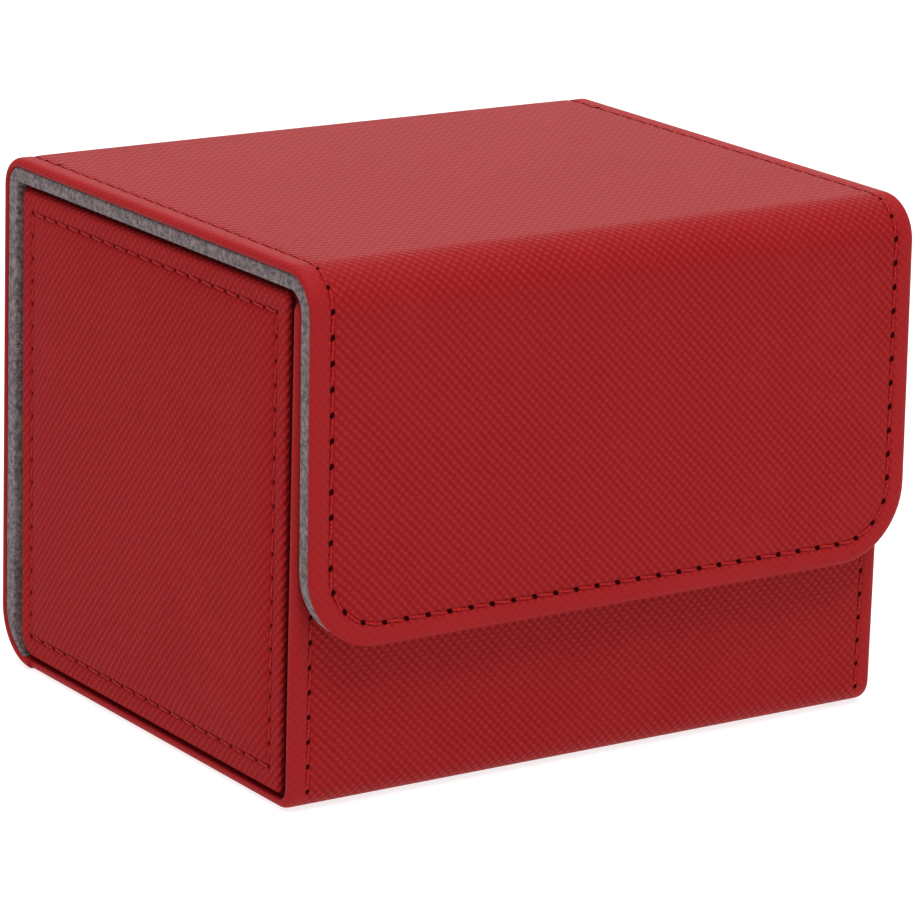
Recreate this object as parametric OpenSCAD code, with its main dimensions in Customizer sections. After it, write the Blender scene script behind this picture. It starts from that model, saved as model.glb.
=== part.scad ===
// Card deck box: a stitched leatherette tray, wrapped front to back by a lined cover whose lid
// folds at the rear crease and whose magnetic flap folds at the front crease.
// Origin: centre of the footprint on the resting surface. +Z is up, the flap faces -Y.

/* [Overall size] */
// Width of the cover strip
strip_w = 104; // [98:1:130]
// Depth over the flap and the back panel
depth = 89; // [84:1:120]
// Height over the lid
height = 78.6; // [74:0.2:110]

/* [Cover] */
// Thickness of a turned leatherette panel
skin_t = 1.3; // [1.2:0.1:2]
// Thickness of the cover lining at the lid and the flap
lining_t = 2.3; // [2:0.1:3]
// Thickness of the cover lining behind the tray
back_lining_t = 2.5; // [2.4:0.1:3.2]
// Thickness of the stiffener between leatherette and lining
stiffener_t = 2; // [1.6:0.1:2.4]
// Outer radius of the crease between lid and flap
lid_r = 6.5; // [6:0.25:8]
// Outer radius of the crease between lid and back
rear_r = 4.5; // [4.5:0.25:8]
// Outer radius of the bottom rear bend
base_r = 8.5; // [8:0.25:11]
// Height of the flap's lower edge above the resting surface
flap_low = 24.5; // [18:0.5:40]
// Corner radius of the flap
flap_r = 11.5; // [8:0.5:14]
// Outward lean of the closed flap, in degrees
flap_lean = 1.2; // [0.8:0.1:2]

/* [Tray] */
// Thickness of the tray's wall boards
board_t = 1.8; // [1.4:0.1:2.2]
// Thickness of the cloth inside the compartment
cloth_t = 0.6; // [0.4:0.1:1]
// Thickness of the leatherette on the side walls
wall_skin_t = 0.5; // [0.4:0.1:0.8]
// Thickness of the front panel with its turned edges
panel_t = 1.4; // [1.3:0.1:2.2]
// Height that a side pad stands out of its wall
pad_t = 1.2; // [1:0.1:1.6]
// Recessed border around a side pad
groove_w = 1.5; // [1:0.1:2.5]

/* [Stitching] */
// Distance of the cover seams from the edge
seam_inset = 3.3; // [3:0.1:5]
// Distance of the pad seams from the pad's edge
pad_seam_inset = 3.3; // [1.8:0.1:3.8]
// Spacing of the stitches
stitch_pitch = 3.6; // [3.2:0.1:5]
// Length of one visible stitch
stitch_len = 2.4; // [2:0.1:2.9]
// Width of the thread
thread_w = 0.6; // [0.4:0.1:0.8]

/* [Magnets] */
// Diameter of a closing magnet
magnet_d = 10; // [6:0.5:12]
// Spacing of the three magnets along the flap
magnet_pitch = 34; // [26:1:40]

/* [Hidden] */
$fn = 72;

red = [0.62, 0.12, 0.14];
groove_red = [0.50, 0.09, 0.11];
thread_red = [0.66, 0.08, 0.10];
lining_grey = [0.47, 0.46, 0.46];
board_brown = [0.60, 0.52, 0.42];
foam_white = [0.90, 0.89, 0.86];
magnet_silver = [0.75, 0.76, 0.78];

clearance = 0.4;                 // between the lid and the tray's rim
crease_gap = 1.5;                // degrees taken off each half of a crease
flap_gap = 0.6;                  // between the flap's lining and the front panel, before the lean
web_t = 0.8;                     // leatherette and paste over a stiffener
rim_w = 1.5;                     // turned edge beside a stiffener
channel_w = 1;                   // sunken seam
channel_d = 0.3;                 // depth of the sunken seam, filled by the thread
tray_corner_r = 5;               // bottom rear corner of the tray
rim_r = 1.5;                     // top rear corner of the tray
nose_r = 3.2;                    // bottom front edge
panel_edge_r = 1;                // top edge of the front panel
pad_r = 1.5;                     // pad corners
pad_heel_r = 3.5;                // pad corner over the bottom rear bend
lining_inset = 0.3;              // the lining stops short of the leatherette's edge
magnet_t = 1;                    // thickness of a magnet
magnet_fit = 0.1;                // play around a magnet in its pocket

cover_t = skin_t + lining_t;
back_y = depth / 2;
// A crease's axis, in from both outer faces, so that the layer at depth t keeps its length.
function crease_in(r, t) = r - PI / 4 * (r - t);
crease_k = crease_in(lid_r, 0.5);
rear_k = crease_in(rear_r, 0.3);                     // lid_hinge is this far in from back and top
axis_z = height - crease_k;
flap_drop = axis_z - flap_low;
flap_axis_y = -depth / 2 + crease_k * cos(flap_lean) + flap_drop * sin(flap_lean);
flap_y = flap_axis_y - crease_k;                     // flap's outer face before it leans
front_crease = [flap_y + lid_r, height - lid_r];     // [y, z] of each bend's centre
rear_crease = [back_y - rear_r, height - rear_r];
heel = [back_y - base_r, base_r];

tray_top = height - cover_t - clearance;
tray_base = skin_t;
tray_back = back_y - skin_t - back_lining_t;
panel_y = flap_y + cover_t + flap_gap;               // front panel's outer face
tray_front = panel_y + panel_t;
panel_top = tray_top - 1;
panel_w = strip_w - 1;                               // front panel and bottom
wall_x = panel_w / 2 - pad_t;                        // outer face of a side wall
board_x = wall_x - wall_skin_t - board_t;            // inner face of a side board
floor_z = tray_base + board_t;
seam_x = strip_w / 2 - seam_inset;

pad_front = tray_front + groove_w;
pad_back = tray_back - groove_w;
pad_low = tray_base + 0.6;
pad_top = tray_top - 0.35;
foam_rim = 1;                                        // pad edge with no foam under it
foam_t = pad_t - web_t + 0.1;

lid_len = rear_crease[0] - front_crease[0];
flap_len = front_crease[1] - flap_low;
back_len = rear_crease[1] - heel[1];
magnet_z = flap_low + 7.5;
magnet_x = [-magnet_pitch, 0, magnet_pitch];

// A [y, z] outline extruded along X, centred.
module along_x(w) { rotate([90, 0, 90]) translate([0, 0, -w / 2]) linear_extrude(w) children(); }

// A [y, z] outline extruded along X between two places.
module between_x(x0, x1) {
  rotate([90, 0, 90]) translate([0, 0, x0]) linear_extrude(x1 - x0) children();
}

// An [x, z] outline extruded along +Y from a place.
module along_y(y, t) { translate([0, y + t, 0]) rotate([90, 0, 0]) linear_extrude(t) children(); }

module block(lo, hi) { translate(lo) cube(hi - lo); }

// A ring's sector between two angles less than 180 degrees apart.
module sector(r_out, r_in, a0, a1) {
  far = 3 * r_out;
  intersection() {
    difference() { circle(r_out); circle(r_in); }
    polygon([[0, 0], far * [cos(a0), sin(a0)], far * [cos((a0 + a1) / 2), sin((a0 + a1) / 2)],
             far * [cos(a1), sin(a1)]]);
  }
}

// A rectangle with its own radius at each corner: low-low, high-low, high-high, low-high.
module rounded(lo, hi, radii) {
  corners = [lo, [hi[0], lo[1]], hi, [lo[0], hi[1]]];
  inward = [[1, 1], [-1, 1], [-1, -1], [1, -1]];
  difference() {
    translate(lo) square(hi - lo);
    for (i = [0:3]) if (radii[i] > 0) {
      r = radii[i];
      difference() {
        translate(corners[i] + inward[i] * (r - 1) / 2) square(r + 1, center = true);
        translate(corners[i] + inward[i] * r) circle(r);
      }
    }
  }
}

// The tray's side outline.
module tray_outline(grow = 0) {
  rounded([tray_front - grow, tray_base - grow], [tray_back + grow, tray_top + grow],
          [nose_r - skin_t, tray_corner_r, rim_r, 0]);
}

// The flap's outline: square at the crease, rounded below.
module flap_outline(inset, top) {
  rounded([-strip_w / 2 + inset, flap_low + inset], [strip_w / 2 - inset, top],
          [flap_r - inset, flap_r - inset, 0, 0]);
}

module at_crease(c) { translate(c) children(); }

// Everything on the flap leans with it about the front crease's axis.
module leaned() {
  translate([0, flap_axis_y, axis_z]) rotate([-flap_lean, 0, 0])
    translate([0, -flap_axis_y, -axis_z]) children();
}

// One stitch lying along X, filling its channel to the surface at z = 0.
module stitch() {
  translate([-stitch_len / 2, -thread_w / 2, -channel_d]) cube([stitch_len, thread_w, channel_d]);
}

// A row of stitches along X, centred.
module stitch_row(length) {
  count = floor(length / stitch_pitch);
  for (i = [0:count - 1]) translate([(i - (count - 1) / 2) * stitch_pitch, 0, 0]) stitch();
}

// A sunken channel along X, centred, its open side at z = 0.
module channel(length) {
  translate([-length / 2, -channel_w / 2, -channel_d]) cube([length, channel_w, channel_d + 1]);
}

// The two side seams of a flat cover panel, seen from outside with its length along X.
module side_seams(inset) { for (s = [-1, 1]) translate([0, s * inset, 0]) children(); }

// Outward frames: each puts a panel's seam plane, length along X, on its outer face.
module on_lid() {
  translate([0, (front_crease[0] + rear_crease[0]) / 2, height]) rotate([0, 0, 90]) children();
}
module on_back() {
  translate([0, back_y, (rear_crease[1] + heel[1]) / 2])
    rotate([-90, 0, 0]) rotate([0, 0, 90]) children();
}
module on_front() {
  translate([0, panel_y, (nose_r + panel_top) / 2])
    rotate([90, 0, 0]) rotate([0, 0, 90]) children();
}
module on_flap() { translate([0, flap_y, 0]) rotate([90, 0, 0]) children(); }

// ---- Tray boards ----

module base_board() {
  color(board_brown) along_x(2 * board_x) intersection() {
    tray_outline();
    translate([tray_front, tray_base]) square([tray_back - board_t - tray_front, board_t]);
  }
}

module side_board(s) {
  color(board_brown) between_x(min(s * board_x, s * (board_x + board_t)),
                               max(s * board_x, s * (board_x + board_t))) tray_outline();
}

module back_board() {
  color(board_brown) along_x(2 * board_x) intersection() {
    tray_outline();
    translate([tray_back - board_t, floor_z]) square([board_t, tray_top - floor_z]);
  }
}

module front_board() {
  color(board_brown) difference() {
    block([-board_x, tray_front, floor_z], [board_x, tray_front + board_t, tray_top]);
    tray_magnet_pockets();
  }
}

// ---- Tray coverings ----

module wall_skin(s) {
  color(groove_red) between_x(min(s * wall_x, s * (wall_x - wall_skin_t)),
                              max(s * wall_x, s * (wall_x - wall_skin_t))) tray_outline();
}

module front_skin() {
  color(red) difference() {
    along_x(panel_w) difference() {
      translate([panel_y, nose_r]) square([panel_t, panel_top - nose_r]);
      difference() {
        translate([panel_y - 0.01, panel_top - panel_edge_r]) square(panel_edge_r + 0.01);
        translate([panel_y + panel_edge_r, panel_top - panel_edge_r]) circle(panel_edge_r);
      }
    }
    block([-panel_w / 2 + rim_w, panel_y + web_t, nose_r + rim_w],
          [panel_w / 2 - rim_w, tray_front + 1, panel_top - rim_w]);
    on_front() side_seams(seam_x) channel(panel_top - nose_r - rim_w);
  }
}

// The tray's magnets stand in the stiffener and reach into the board behind it.
module tray_magnet_pockets() {
  for (x = magnet_x) translate([x, panel_y + web_t - 1, magnet_z]) rotate([-90, 0, 0])
    cylinder(d = magnet_d + 2 * magnet_fit, h = 1 + magnet_t + magnet_fit);
}

module front_stiffener() {
  color(board_brown) difference() {
    block([-panel_w / 2 + rim_w, panel_y + web_t, nose_r + rim_w],
          [panel_w / 2 - rim_w, tray_front, panel_top - rim_w]);
    tray_magnet_pockets();
  }
}

module front_stitching() {
  color(thread_red) on_front() side_seams(seam_x) stitch_row(panel_top - nose_r - rim_w);
}

module base_skin() {
  color(red) along_x(panel_w) union() {
    translate([panel_y + nose_r, 0]) square([heel[0] - panel_y - nose_r, tray_base]);
    translate([panel_y + nose_r, nose_r]) sector(nose_r, nose_r - skin_t, 180, 270);
  }
}

module pad_outline(inset) {
  rounded([pad_front + inset, pad_low + inset], [pad_back - inset, pad_top - inset],
          [max(pad_r - inset, 0), pad_heel_r - inset, max(pad_r - inset, 0), max(pad_r - inset, 0)]);
}

module foam_block(s) {
  between_x(min(s * wall_x, s * (wall_x + foam_t)), max(s * wall_x, s * (wall_x + foam_t)))
    pad_outline(foam_rim);
}

// Seams of a side pad: children are drawn once for each side of the stitched frame.
module pad_seams(s) {
  y0 = pad_front + pad_seam_inset;
  y1 = pad_back - pad_seam_inset;
  z0 = pad_low + pad_seam_inset;
  z1 = pad_top - pad_seam_inset;
  translate([s * (wall_x + pad_t), (y0 + y1) / 2, (z0 + z1) / 2]) rotate([0, s * 90, 0]) {
    for (k = [-1, 1]) {
      translate([0, k * (y1 - y0) / 2, 0]) { $seam = z1 - z0; children(); }
      translate([k * (z1 - z0) / 2, 0, 0]) rotate([0, 0, 90]) { $seam = y1 - y0; children(); }
    }
  }
}

module pad_skin(s) {
  color(red) difference() {
    between_x(min(s * wall_x, s * (wall_x + pad_t)), max(s * wall_x, s * (wall_x + pad_t))) pad_outline(0);
    foam_block(s);
    pad_seams(s) channel($seam + channel_w);
  }
}

module pad_foam(s) { color(foam_white) foam_block(s); }

module pad_stitching(s) { color(thread_red) pad_seams(s) stitch_row($seam - stitch_pitch / 2); }

// ---- Compartment linings ----

module floor_lining() {
  color(lining_grey) block([-board_x, tray_front + board_t, floor_z],
                           [board_x, tray_back - board_t, floor_z + cloth_t]);
}

module side_wall_lining(s) {
  x0 = s * board_x;
  x1 = s * (board_x - cloth_t);
  color(lining_grey) block([min(x0, x1), tray_front + board_t, floor_z + cloth_t],
                           [max(x0, x1), tray_back - board_t, tray_top]);
}

module cross_wall_lining(y) {
  color(lining_grey) block([-board_x + cloth_t, y, floor_z + cloth_t],
                           [board_x - cloth_t, y + cloth_t, tray_top]);
}

module front_wall_lining() { cross_wall_lining(tray_front + board_t); }

module back_wall_lining() { cross_wall_lining(tray_back - board_t - cloth_t); }

module tray_magnets() {
  color(magnet_silver)
    for (x = magnet_x) translate([x, panel_y + web_t + 0.05, magnet_z])
      rotate([-90, 0, 0]) cylinder(d = magnet_d, h = magnet_t);
}

// ---- Back panel of the cover ----

module stiffener_pocket_back(play) {
  block([-strip_w / 2 + rim_w - play, back_y - web_t - stiffener_t, heel[1] + rim_w - play],
        [strip_w / 2 - rim_w + play, back_y - web_t, rear_crease[1] - rim_w + play]);
}

module back_skin() {
  color(red) difference() {
    along_x(strip_w) {
      translate([back_y - skin_t, heel[1]]) square([skin_t, back_len]);
      at_crease(heel) sector(base_r, base_r - skin_t, 270, 360);
      at_crease(rear_crease) sector(rear_r, rear_r - skin_t, 0, 45 - crease_gap);
    }
    stiffener_pocket_back(0);
    on_back() side_seams(seam_x) channel(back_len);
  }
}

module back_stiffener() { color(board_brown) stiffener_pocket_back(0); }

module back_lining() {
  tail_y = heel[0] + 3.5;
  color(lining_grey) difference() {
    along_x(strip_w - 2 * lining_inset) {
      translate([tray_back, heel[1]]) square([back_lining_t, back_len]);
      at_crease(rear_crease)
        sector(rear_r - skin_t, rear_r - skin_t - back_lining_t, 0, 45 - crease_gap);
      difference() {
        at_crease(heel) sector(base_r - skin_t, 1, 270, 360);
        tray_outline(0.1);
        translate([tail_y - 20, 0]) square([20, 20]);
      }
    }
    stiffener_pocket_back(0);
  }
}

module back_stitching() { color(thread_red) on_back() side_seams(seam_x) stitch_row(back_len); }

// ---- Lid ----

module lid_pocket() {
  block([-strip_w / 2 + rim_w, front_crease[0] + rim_w, height - web_t - stiffener_t],
        [strip_w / 2 - rim_w, rear_crease[0] - rim_w, height - web_t]);
}

// A layer of the lid with its two half creases, from one depth under the outer face to another.
module lid_layer(t0, t1, w) {
  along_x(w) {
    translate([front_crease[0], height - t1]) square([lid_len, t1 - t0]);
    at_crease(front_crease) sector(lid_r - t0, lid_r - t1, 90, 135 - crease_gap);
    at_crease(rear_crease) sector(rear_r - t0, rear_r - t1, 45 + crease_gap, 90);
  }
}

module lid_skin() {
  color(red) difference() {
    lid_layer(0, skin_t, strip_w);
    lid_pocket();
    on_lid() side_seams(seam_x) channel(lid_len);
  }
}

module lid_stiffener() { color(board_brown) lid_pocket(); }

module lid_lining() {
  color(lining_grey) difference() {
    lid_layer(skin_t, cover_t, strip_w - 2 * lining_inset);
    lid_pocket();
  }
}

module lid_stitching() { color(thread_red) on_lid() side_seams(seam_x) stitch_row(lid_len); }

// ---- Flap ----

module flap_pocket() {
  along_y(flap_y + web_t, stiffener_t) flap_outline(rim_w, front_crease[1] - rim_w);
}

module flap_layer(t0, t1, inset) {
  along_y(flap_y + t0, t1 - t0) flap_outline(inset, front_crease[1]);
  along_x(strip_w - 2 * inset) at_crease(front_crease)
    sector(lid_r - t0, lid_r - t1, 135 + crease_gap, 180);
}

module flap_seam_channel() {
  bend_r = flap_r - seam_inset;
  side_len = flap_len - flap_r;
  base_len = strip_w - 2 * flap_r;
  on_flap() {
    for (s = [-1, 1]) {
      translate([s * seam_x, front_crease[1] - side_len / 2, 0]) rotate([0, 0, 90]) channel(side_len);
      translate([s * base_len / 2, flap_low + flap_r, -channel_d]) linear_extrude(1)
        sector(bend_r + channel_w / 2, bend_r - channel_w / 2, s > 0 ? 270 : 180, s > 0 ? 360 : 270);
    }
    translate([0, flap_low + seam_inset, 0]) channel(base_len);
  }
}

module flap_skin() {
  color(red) leaned() difference() {
    flap_layer(0, skin_t, 0);
    flap_pocket();
    flap_seam_channel();
  }
}

module flap_stiffener() {
  color(board_brown) leaned() difference() {
    flap_pocket();
    for (x = magnet_x) translate([x, flap_y + web_t + stiffener_t - magnet_t - magnet_fit, magnet_z])
      rotate([-90, 0, 0]) cylinder(d = magnet_d + 2 * magnet_fit, h = magnet_t + 1);
  }
}

module flap_lining() {
  color(lining_grey) leaned() difference() {
    flap_layer(skin_t, cover_t, lining_inset);
    flap_pocket();
  }
}

module flap_stitching() {
  bend_r = flap_r - seam_inset;
  side_len = flap_len - flap_r;
  base_len = strip_w - 2 * flap_r;
  color(thread_red) leaned() on_flap() {
    for (s = [-1, 1]) {
      translate([s * seam_x, front_crease[1] - side_len / 2, 0]) rotate([0, 0, 90]) stitch_row(side_len);
      for (a = [18, 45, 72])
        translate([s * (base_len / 2 + bend_r * cos(a)), flap_low + flap_r - bend_r * sin(a), 0])
          rotate([0, 0, s * (90 - a)]) stitch();
    }
    translate([0, flap_low + seam_inset, 0]) stitch_row(base_len);
  }
}

module flap_magnets() {
  color(magnet_silver) leaned()
    for (x = magnet_x) translate([x, flap_y + web_t + stiffener_t - magnet_t, magnet_z])
      rotate([-90, 0, 0]) cylinder(d = magnet_d, h = magnet_t);
}

base_board();
side_board(-1);  // left_board
side_board(1);  // right_board
back_board();
front_board();
wall_skin(-1);  // left_wall_skin
wall_skin(1);  // right_wall_skin
front_skin();
front_stiffener();
base_skin();
back_skin();
back_stiffener();
back_lining();
pad_skin(-1);  // left_pad_skin
pad_skin(1);  // right_pad_skin
pad_foam(-1);  // left_pad_foam
pad_foam(1);  // right_pad_foam
pad_stitching(-1);  // left_pad_stitching
pad_stitching(1);  // right_pad_stitching
front_stitching();
back_stitching();
floor_lining();
side_wall_lining(-1);  // left_wall_lining
side_wall_lining(1);  // right_wall_lining
front_wall_lining();
back_wall_lining();
tray_magnets();
lid_skin();
lid_stiffener();
lid_lining();
lid_stitching();
flap_skin();
flap_stiffener();
flap_lining();
flap_stitching();
flap_magnets();
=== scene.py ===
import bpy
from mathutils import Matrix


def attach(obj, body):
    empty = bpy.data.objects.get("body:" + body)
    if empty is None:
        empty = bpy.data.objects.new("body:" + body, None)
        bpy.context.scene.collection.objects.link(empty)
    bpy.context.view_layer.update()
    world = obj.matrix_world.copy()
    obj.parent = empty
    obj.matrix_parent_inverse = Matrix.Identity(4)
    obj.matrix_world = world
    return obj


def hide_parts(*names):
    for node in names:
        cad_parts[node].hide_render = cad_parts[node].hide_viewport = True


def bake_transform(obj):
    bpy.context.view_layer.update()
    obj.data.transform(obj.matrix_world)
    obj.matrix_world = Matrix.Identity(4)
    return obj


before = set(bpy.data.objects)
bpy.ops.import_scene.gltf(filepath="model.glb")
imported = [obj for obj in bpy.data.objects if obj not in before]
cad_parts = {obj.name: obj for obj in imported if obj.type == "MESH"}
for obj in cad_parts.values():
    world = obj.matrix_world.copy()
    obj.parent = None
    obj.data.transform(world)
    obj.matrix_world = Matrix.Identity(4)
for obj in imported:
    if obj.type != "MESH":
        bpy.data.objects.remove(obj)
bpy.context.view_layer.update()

import math
import bpy
import numpy as np
from mathutils import Matrix, Vector

mm = 0.001
hair = 0.001                    # millimetres that don't count

# the whole box in millimetres and degrees, with the part's own sizes
box = {
    "width": 104.0, "depth": 89.0, "height": 78.6,
    "skin": 1.3,                # leatherette with its turned edge
    "lining": 2.3,              # lining of lid and flap
    "backLining": 2.5,          # lining behind the tray
    "lidBend": 6.5,             # outer radius of the crease between lid and flap
    "rearBend": 4.5,            # outer radius of the crease between lid and back
    "heelBend": 8.5,            # outer radius of the bottom rear bend
    "noseBend": 3.4,            # outer radius of the bottom front bend
    "rearTuck": 0.6,            # how far the back leans in at its top
    "heelTuck": 0.1,            # and at the bottom
    "flapLow": 24.5,            # height of the flap's lower edge
    "flapLean": 1.2,
    "flapGap": 0.6,             # between the flap's lining and the front panel
    "panel": 1.4,               # front panel with its stiffener
    "trayHalf": 51.5,           # half the width of the front panel and the bottom
    "trayTop": 74.5,
    "panelTop": 73.6,
    "splitY": 33.0,             # where the rear strip hands over to the lid strip
    "board": 1.8, "cloth": 0.6, "wallSkin": 0.5, "padHigh": 1.2,
}


def creaseIn(radius, layer):
    return radius - math.pi / 4 * (radius - layer)                # the layer at this depth keeps its length


lean = math.radians(box["flapLean"])
frontIn, rearIn = creaseIn(box["lidBend"], 0.5), creaseIn(box["rearBend"], 0.3)
flapDrop = box["height"] - frontIn - box["flapLow"]
flapAxis = (-box["depth"] / 2 + frontIn * math.cos(lean) + flapDrop * math.sin(lean), box["height"] - frontIn)
lidAxis = (box["depth"] / 2 - rearIn, box["height"] - rearIn)
frontCrease = (flapAxis[0] - frontIn + box["lidBend"], box["height"] - box["lidBend"])
rearCrease = (box["depth"] / 2 - box["rearTuck"] - box["rearBend"], box["height"] - box["rearBend"])
heel = (box["depth"] / 2 - box["heelTuck"] - box["heelBend"], box["heelBend"])
stripHalf = box["width"] / 2
panelY = frontCrease[0] - box["lidBend"] + box["skin"] + box["lining"] + box["flapGap"]
trayFront, trayBack = panelY + box["panel"], box["depth"] / 2 - box["skin"] - box["backLining"]
wallX = box["trayHalf"] - box["padHigh"]


# one socket of a material, for sums written in plain signs
class Wire:
    def __init__(self, paint, socket):
        self.paint, self.socket = paint, socket

    def maths(self, operation, first, second):
        return self.paint.node("ShaderNodeMath", {"operation": operation}, {0: first, 1: second})

    def __add__(self, other):
        return self.maths("ADD", self, other)

    def __radd__(self, other):
        return self.maths("ADD", other, self)

    def __sub__(self, other):
        return self.maths("SUBTRACT", self, other)

    def __rsub__(self, other):
        return self.maths("SUBTRACT", other, self)

    def __mul__(self, other):
        return self.maths("MULTIPLY", self, other)

    def __rmul__(self, other):
        return self.maths("MULTIPLY", other, self)

    def __pow__(self, other):
        return self.maths("POWER", self, other)

    def __rpow__(self, other):
        return self.maths("POWER", other, self)


shaderSockets = {
    "colour": "Base Color", "rough": "Roughness", "metal": "Metallic", "normal": "Normal",
    "specular": "Specular IOR Level", "sheen": "Sheen Weight", "sheenRough": "Sheen Roughness",
    "sheenTint": "Sheen Tint", "glow": "Emission Color", "glowPower": "Emission Strength",
}


class Paint:
    def __init__(self, name):
        self.material = bpy.data.materials.new(name)
        self.material.use_nodes = True
        self.tree = self.material.node_tree
        self.tree.nodes.clear()
        self.shader = self.tree.nodes.new("ShaderNodeBsdfPrincipled")
        end = self.tree.nodes.new("ShaderNodeOutputMaterial")
        self.tree.links.new(self.shader.outputs[0], end.inputs[0])

    def give(self, socket, given):
        if isinstance(given, Wire):
            self.tree.links.new(given.socket, socket)
        else:
            socket.default_value = given

    def node(self, kind, settings=None, sockets=None, out=0):
        made = self.tree.nodes.new(kind)
        for key, setting in (settings or {}).items():
            setattr(made, key, setting)
        for key, given in (sockets or {}).items():
            self.give(made.inputs[key], given)
        return Wire(self, made.outputs[out])

    def strip(self):
        return self.node("ShaderNodeUVMap", {"uv_map": "strip"})      # millimetres along and across a strip

    def place(self):
        return self.node("ShaderNodeTexCoord", {}, out=3)             # metres in the piece's own space

    def attribute(self, name):
        return self.node("ShaderNodeAttribute", {"attribute_name": name}, out=2)

    def parts(self, vector):
        first = self.node("ShaderNodeSeparateXYZ", {}, {0: vector})
        return [Wire(self, output) for output in first.socket.node.outputs]

    def blend(self, factor, a, b):
        return self.node("ShaderNodeMix", {"data_type": "RGBA"}, {0: factor, 6: a, 7: b}, out=2)

    def noise(self, vector, scale, detail=2.0, rough=0.5):
        return self.node("ShaderNodeTexNoise", {}, {"Vector": vector, "Scale": scale, "Detail": detail,
                                                    "Roughness": rough})

    def step(self, x, low, high):
        return self.node("ShaderNodeMapRange", {"interpolation_type": "SMOOTHSTEP"},
                         {0: x, 1: low, 2: high, 3: 0.0, 4: 1.0})

    def bump(self, height, distance):
        return self.node("ShaderNodeBump", {}, {"Height": height, "Distance": distance, "Strength": 1.0})

    def finish(self, **given):
        for name, setting in given.items():
            self.give(self.shader.inputs[shaderSockets[name]], setting)
        return self.material


# sizes of the seams in millimetres
seam = {
    "inset": 3.35, "frontInset": 2.9, "padInset": 3.3, "pitch": 3.6, "padPitch": 3.5,
    "threadWide": 0.18, "threadHigh": 0.13,   # half sizes of the thread
    "threadRise": 0.10, "threadDive": 0.42,   # how it stands up between two holes and dives at them
    "threadSway": 0.10,                       # how far a stitch wanders to the side
    "threadSlim": 0.35,                       # share that it thins by at its ends
    "stitchGap": 0.25,
    "holeLong": 0.55, "holeWide": 0.39,       # half sizes of a needle hole
    "holeTurn": 24.0,                         # degrees that a hole is turned from the seam
    "holePoint": 1.4,                         # 2 is an oval, 1 is a diamond
    "holeRings": ((1.0, -0.08), (1.0, 0.02), (0.55, 0.045)),          # share of its size, height
    "channel": 0.22, "channelWide": 0.42,     # how deep the seam pulls the leatherette in
    "hollow": 0.06, "hollowWide": 1.3,        # the wider, shallower part of that
}

coverLeather = {
    "face": (0.302, 0.0088, 0.0104, 1), "furrow": (0.195, 0.0040, 0.0050, 1),
    "crest": (0.40, 0.024, 0.027, 1), "band": (0.362, 0.0165, 0.0190, 1),
    # painted shade colour for a pad's turned front edge, which lies in a groove
    "edgeShadow": (0.060, 0.0015, 0.0018, 1),
    "pitch": 1.01,              # spacing of the diagonal furrows
    "turns": (45.0, -45.0),     # degrees of the two sets of furrows
    "weights": (0.4, 0.6),      # how deep each set is
    "relief": 0.00014,          # height of the emboss in metres
    "contrast": 0.65,
    "bandWidth": 2.7,           # smooth border before the emboss begins
    "bandSoft": 0.45,           # half the width over which it begins
    "bandEmboss": 0.25,         # share of the emboss that the border keeps
    "seamShade": 0.35,          # how far painted shade darkens the leatherette in a seam's channel
    "seamFrom": 0.12, "seamTo": 0.62,         # distance over which that fades
    "edgeShadowAt": None,           # where the painted shade on a pad's turned front edge begins
    "edgeShadowSoft": (0.45, 0.65),               # how far it fades, forwards and backwards
    "wobble": 0.5,              # how far the furrows stray
    "drift": 0.11, "uneven": 0.9, "grain": 4.5, "patches": 0.045,     # noise scales, per millimetre
    "gloss": 0.05,
}
padLeather = {
    **coverLeather,
    "turns": (41.5, -45.5), "weights": (0.72, 0.28), "contrast": 0.5, "bandWidth": -1.0, "seamShade": 0.6,
    "edgeShadowAt": trayFront + 1.5, "gloss": 0.02,
}
# painted shade: the wall's leatherette, seen only in the narrow groove beside the pad, gets darker colours
# than the cover's to stand for the shade there
shadedWallLeather = {
    **coverLeather,
    "face": (0.16, 0.006, 0.008, 1), "furrow": (0.03, 0.0015, 0.002, 1), "crest": (0.22, 0.010, 0.012, 1),
    "pitch": 1.35, "relief": 0.00025, "bandWidth": -1.0,
}


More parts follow.
